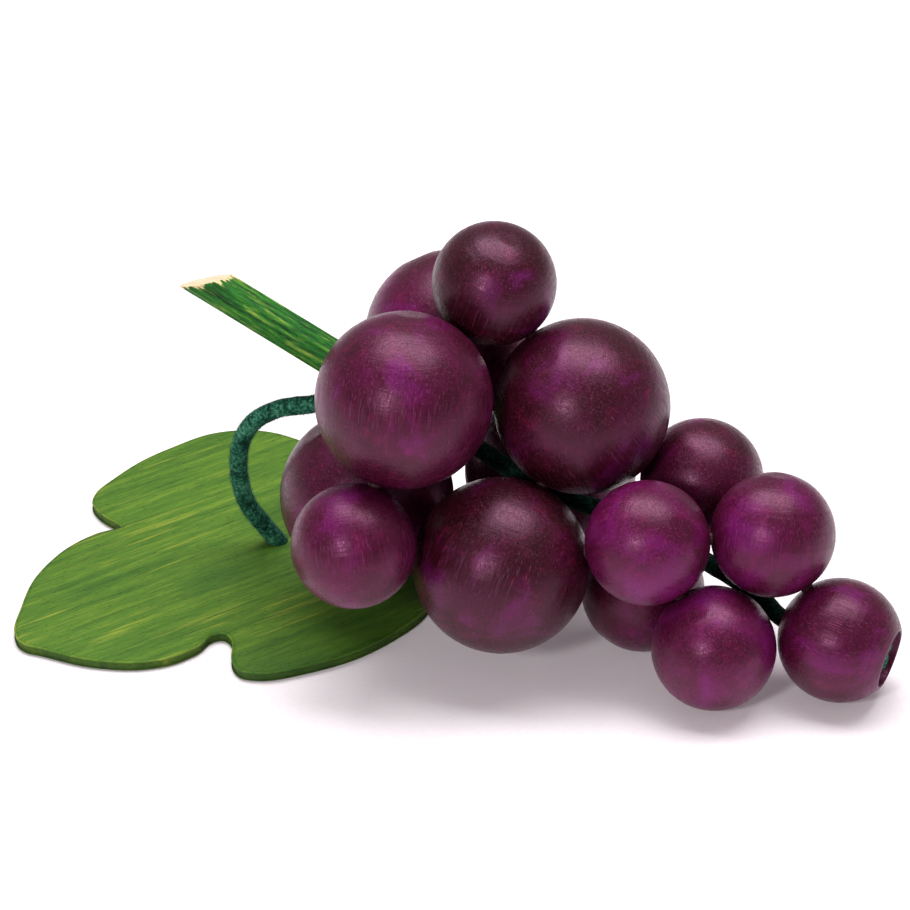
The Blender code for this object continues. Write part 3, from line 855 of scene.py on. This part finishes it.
ROUNDING = [pi / 2 * i / 5 for i in range(6)]
LEVELS = [(EDGE_ROUND * (1 - sin(a)), EDGE_ROUND * (1 - cos(a))) for a in ROUNDING]
FLAT_FROM = EDGE_ROUND + 0.9
bm = bmesh.new()
wear = bm.verts.layers.float.new("near_edge")
loops = []
profile = [(inset, LEAF_THICK - down) for down, inset in LEVELS]
profile = [(inset, down) for down, inset in LEVELS] + profile[::-1]
profile = [(FLAT_FROM, 0.0)] + profile + [(FLAT_FROM, LEAF_THICK)]
for inset, z in profile:
    on_upper_edge = z > LEAF_THICK - EDGE_ROUND * 0.5 and inset < EDGE_ROUND + 0.1
    loop = []
    for p in drawn_in(edge_line, inset):
        spot = Matrix.Rotation(LEAF_TURN, 4, "Z") @ p + LEAF_TIP + Vector((0, 0, z))
        vert = bm.verts.new(spot * MM)
        vert[wear] = 1.0 if on_upper_edge else 0.0
        loop.append(vert)
    loops.append(loop)
for lower, upper in zip(loops, loops[1:]):
    for k in range(len(lower)):
        n = (k + 1) % len(lower)
        bm.faces.new((lower[k], lower[n], upper[n], upper[k])).smooth = True
bottom, top = bm.faces.new(loops[0]), bm.faces.new(loops[-1])
bmesh.ops.recalc_face_normals(bm, faces=bm.faces)
print("leaf levels:", [(round(i, 2), round(z, 2)) for i, z in profile])
leaf_mesh = bpy.data.meshes.new("leaf_board")
bmesh.ops.triangulate(bm, faces=[bottom, top])
bm.to_mesh(leaf_mesh)
bm.free()

# %% [markdown]
# ## The dye on the leaf
# The board shows fine grain that runs along the midrib, with yellow-green where the wood took little
# dye. The dye is matt, with a faint gloss along the fibres. Its coordinates are turned by the
# midrib's angle, and squeezed along it, so round speckles become fibres.

# %% Stained leaf
leaf_stain, tree, shader = new_finish("green_stain_leaf")
place = add(tree, "ShaderNodeTexCoord").outputs["Object"]
along = add(
    tree, "ShaderNodeMapping", {"Vector": place, "Rotation": (0, 0, LEAF_TURN)}, vector_type="TEXTURE"
).outputs["Vector"]
grain = speckle(tree, stretched(tree, along, (0.05, 1.0, 0.2)), 620.0, 5.0, 0.62, 0.15)
broad = speckle(tree, stretched(tree, along, (0.14, 1.0, 0.2)), 120.0, 3.0, 0.5)
fine_grain = speckle(tree, stretched(tree, along, (0.09, 1.0, 1.0)), 2600.0, 3.0, 0.65)
leaf_tone = calc(
    tree, "ADD", calc(tree, "MULTIPLY", grain, 0.5),
    calc(tree, "ADD", calc(tree, "MULTIPLY", broad, 0.16), calc(tree, "MULTIPLY", fine_grain, 0.36)),
)
leaf_colour = steps(
    tree, leaf_tone,
    (0.36, dye(48, 84, 24)), (0.47, dye(70, 108, 30)), (0.56, dye(84, 120, 34)), (0.68, dye(112, 140, 44)),
)
print("grain of the leaf:", len(tree.nodes), "nodes")

# %% Flecks, pools and the worn edge
thin_dye = speckle(tree, stretched(tree, along, (0.035, 1.0, 0.2)), 900.0, 4.0, 0.6)
blotches = speckle(tree, stretched(tree, along, (0.5, 1.0, 1.0)), 55.0, 4.0, 0.6)
bare_spots = shade(tree, blotches, 0.0, 0.85, 0.46, 0.6)
bare_lines = calc(tree, "MULTIPLY", shade(tree, thin_dye, 0.0, 1.0, 0.56, 0.68), bare_spots)
streaky = blend(tree, bare_lines, leaf_colour, dye(142, 154, 52))
pooled = blend(tree, shade(tree, blotches, 0.4, 0.0, 0.34, 0.48), streaky, dye(46, 88, 30))
edge = add(tree, "ShaderNodeAttribute", attribute_name="near_edge").outputs["Fac"]
worn = shade(tree, calc(tree, "MULTIPLY", edge, calc(tree, "ADD", grain, blotches)), 0.0, 0.5, 0.9, 1.25)
leaf_pores = speckle(tree, stretched(tree, along, (0.4, 1.0, 1.0)), 2200.0, 2.0, 0.6)
pored = blend(tree, 1.0, pooled, shade(tree, leaf_pores, 0.62, 1.0, 0.3, 0.4), "MULTIPLY")
# Darker towards the bottom: below 1.6 mm above the table the colour is darkened, so the leaf's side and
# underside come out darker.
above_table = add(tree, "ShaderNodeSeparateXYZ", {0: place}).outputs["Z"]
darker_towards_bottom = shade(tree, above_table, 0.6, 1.0, 0.0016, 0.002)
edged = blend(tree, 1.0, pored, darker_towards_bottom, "MULTIPLY")
tree.links.new(blend(tree, worn, edged, dye(146, 158, 60)), shader.inputs["Base Color"])
tree.links.new(shade(tree, grain, 0.5, 0.7), shader.inputs["Roughness"])
roughen(tree, shader, calc(tree, "ADD", grain, calc(tree, "MULTIPLY", fine_grain, 0.6)), 0.35, 0.15 * MM)
shader.inputs["Specular IOR Level"].default_value = 0.22

# %% The leaf in place
leaf = link_piece("leaf_board", leaf_mesh)
leaf_mesh.materials.append(leaf_stain)
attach(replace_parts(leaf, "leaf"), "root")
print("leaf, mm:", size_of(leaf))

# %% [markdown]
# ## The pegs
# Short beech pegs hold the balls together. They were dipped with the bunch, so where one shows
# between two balls it is as dark as they are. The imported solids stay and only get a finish.

# %% Dipped beech
beech, tree, shader = new_finish("dipped_beech")
place = add(tree, "ShaderNodeTexCoord").outputs["Object"]
flecks = speckle(tree, place, 2400.0, 3.0, 0.6)
beech_colour = steps(tree, flecks, (0.35, dye(34, 12, 18)), (0.6, dye(66, 26, 34)), (0.78, dye(120, 74, 60)))
tree.links.new(beech_colour, shader.inputs["Base Color"])
tree.links.new(shade(tree, flecks, 0.55, 0.8), shader.inputs["Roughness"])
roughen(tree, shader, flecks, 0.3, 0.2 * MM)
pegs = [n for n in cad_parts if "peg" in n]
for name in pegs:
    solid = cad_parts[name]
    for slot in solid.material_slots:
        slot.material = beech
print(len(pegs), "pegs dipped")

# %% [markdown]
# ## The table and the light
# The toy lies on a white board with a faint pink glow of its own, painted light that
# keeps its shadow soft and pale.
# One large soft light hangs above and a little behind, a small one stands in front on the left,
# and the white room does the rest. The floor has to come out pure white, so the shadow is the
# only thing that is drawn on it.

# %% Floor
FLOOR_HALF, FLOOR_UNDER = 3.0, -0.2 * MM
floor_corners = [
    (across * FLOOR_HALF, deep * FLOOR_HALF, FLOOR_UNDER)
    for across, deep in ((-1, -1), (1, -1), (1, 1), (-1, 1))
]
floor_mesh = bpy.data.meshes.new("floor")
floor_mesh.from_pydata(floor_corners, [], [(0, 1, 2, 3)])
floor = link_piece("floor", floor_mesh)
board, tree, shader = new_finish("white_board")
place = add(tree, "ShaderNodeTexCoord").outputs["Object"]
paper = speckle(tree, place, 900.0, 2.0, 0.5)
board_colour = steps(tree, paper, (0.3, dye(248, 240, 244)), (0.7, dye(253, 246, 250)))
tree.links.new(board_colour, shader.inputs["Base Color"])
tree.links.new(shade(tree, paper, 0.7, 0.8), shader.inputs["Roughness"])
# Painted light: the board glows faintly pink, which lifts its shadow and tints it mauve.
shader.inputs["Emission Color"].default_value = (1.0, 0.86, 0.93, 1.0)
shader.inputs["Emission Strength"].default_value = 0.11
floor_mesh.materials.append(board)
print("floor is", 2 * FLOOR_HALF, "m wide")

# %% Lights and room
LIT = Vector((0.0, -0.015, 0.035))


def soft_light(name, direction, distance, width, height, power):
    lamp = bpy.data.lights.new(name, "AREA")
    lamp.shape = "RECTANGLE"
    lamp.size, lamp.size_y, lamp.energy = width, height, power
    made = bpy.data.objects.new(name, lamp)
    way = Vector(direction).normalized()
    made.location = LIT + way * distance
    made.rotation_euler = way.to_track_quat("Z", "Y").to_euler()
    bpy.context.scene.collection.objects.link(made)
    return made


soft_light("top_light", (0.05, 0.16, 0.985), 0.8, 0.9, 0.5, 9.0)
soft_light("front_light", (-0.37, -0.8, 0.475), 1.2, 0.14, 0.14, 4.5)
room = bpy.data.worlds.new("room")
room.use_nodes = True
room.node_tree.nodes["Background"].inputs["Color"].default_value = (1.0, 0.98, 0.985, 1.0)
room.node_tree.nodes["Background"].inputs["Strength"].default_value = 0.3
bpy.context.scene.world = room
bpy.context.scene.view_settings.view_transform = "Standard"
print("two lights and a white room")
